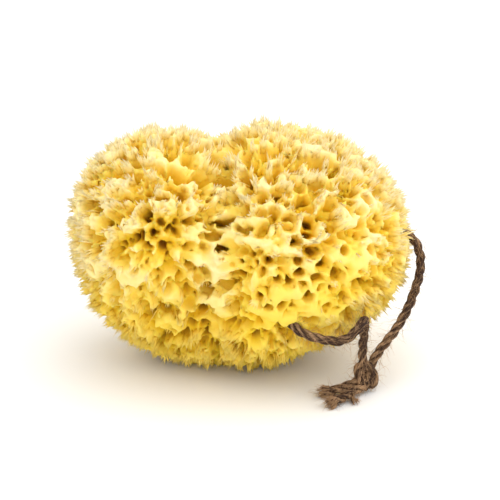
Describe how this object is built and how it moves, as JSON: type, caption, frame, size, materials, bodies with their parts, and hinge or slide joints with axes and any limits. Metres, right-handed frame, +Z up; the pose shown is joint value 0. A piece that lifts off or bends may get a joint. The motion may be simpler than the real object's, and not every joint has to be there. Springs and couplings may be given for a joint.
{
  "type": "sea sponge",
  "caption": "Natural sea sponge with open pores and tufted walls, cut flat below, on a knotted loop of jute twine threaded through it.",
  "frame": {"origin": "middle of the sponge's length and depth, on the surface that its flat cut rests on", "axes": "+X along the sponge's length, towards the side where the twine comes out, +Y from its front to its back, +Z up"},
  "size_m": [0.1425, 0.11, 0.0981],
  "materials": {
    "sponge": "matte, springy, pale tips over golden pores",
    "jute": "dry, hairy twine"
  },
  "bodies": {
    "root": {"sponge": "sponge", "twine_loop": "jute", "knot": "jute", "back_tail": "jute", "front_tail": "jute"}
  },
  "joints": []
}
